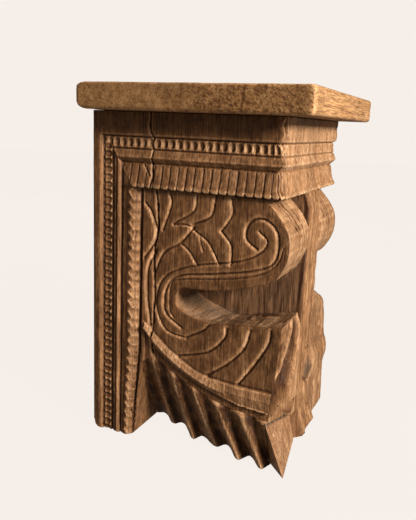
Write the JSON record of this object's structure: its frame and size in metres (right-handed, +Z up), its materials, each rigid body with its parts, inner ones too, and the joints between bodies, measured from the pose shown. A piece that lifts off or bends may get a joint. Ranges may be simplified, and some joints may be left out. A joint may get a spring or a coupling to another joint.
{
  "type": "carved corbel bracket",
  "caption": "Carved wooden corbel bracket with scrolled and fluted sides round a central web, moulded head and a plank on top as a small wall shelf.",
  "frame": {"origin": "middle of the block's flat back, 100 mm below the block's top, where it meets the wall", "axes": "+Z up, +Y into the wall behind, the carved front faces -Y, +X to the right seen from the front"},
  "size_m": [0.26, 0.23, 0.3653],
  "materials": {
    "carved_wood": "aged, dark in the hollows and worn pale on the edges",
    "mended_wood": "newer, smoother and redder than the block",
    "plank_wood": "waxed, golden brown"
  },
  "bodies": {
    "root": {"corbel_block": "carved_wood", "mended_tip": "mended_wood", "shelf_board": "plank_wood"}
  },
  "joints": []
}
